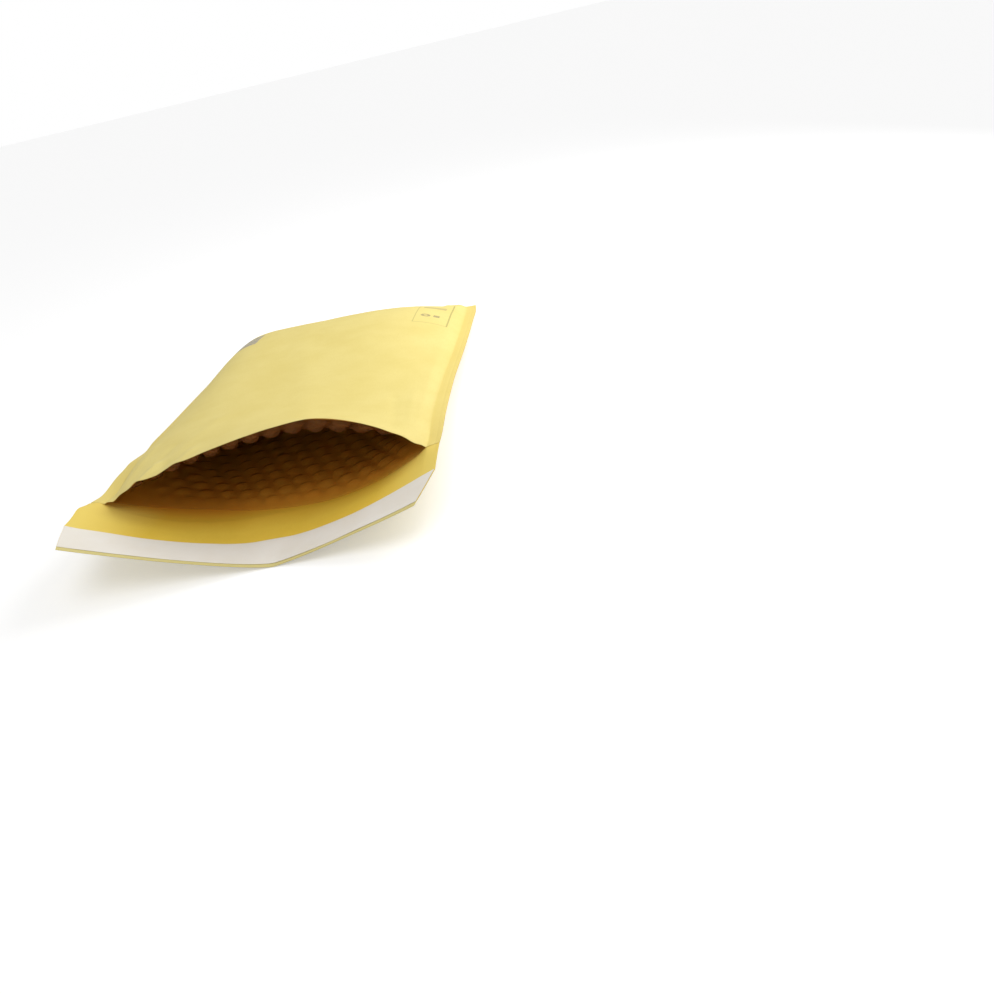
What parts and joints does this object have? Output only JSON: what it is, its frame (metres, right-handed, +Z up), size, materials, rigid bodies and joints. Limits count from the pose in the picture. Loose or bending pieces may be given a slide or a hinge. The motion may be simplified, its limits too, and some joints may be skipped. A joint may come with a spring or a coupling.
{
  "type": "bubble mailer",
  "caption": "Padded kraft envelope lying open, with a bubble film lining and a self-seal flap under a peel-off liner; holds flat goods for the post.",
  "frame": {"origin": "centre of the bounding box's base, on the surface that the mailer lies on", "axes": "+Z up, +Y from the mouth to the bottom fold, +X to the right seen from the mouth"},
  "size_m": [0.2, 0.328, 0.0495],
  "materials": {
    "kraft_paper": "matte golden kraft paper with a faint grain",
    "bubble_film": "clear glossy film over kraft",
    "adhesive": "tacky hot-melt adhesive",
    "liner_paper": "white release paper, slightly silky"
  },
  "bodies": {
    "root": {"kraft_envelope": "kraft_paper", "bubble_lining": "bubble_film", "adhesive_strip": "adhesive", "release_liner": "liner_paper"}
  },
  "joints": []
}
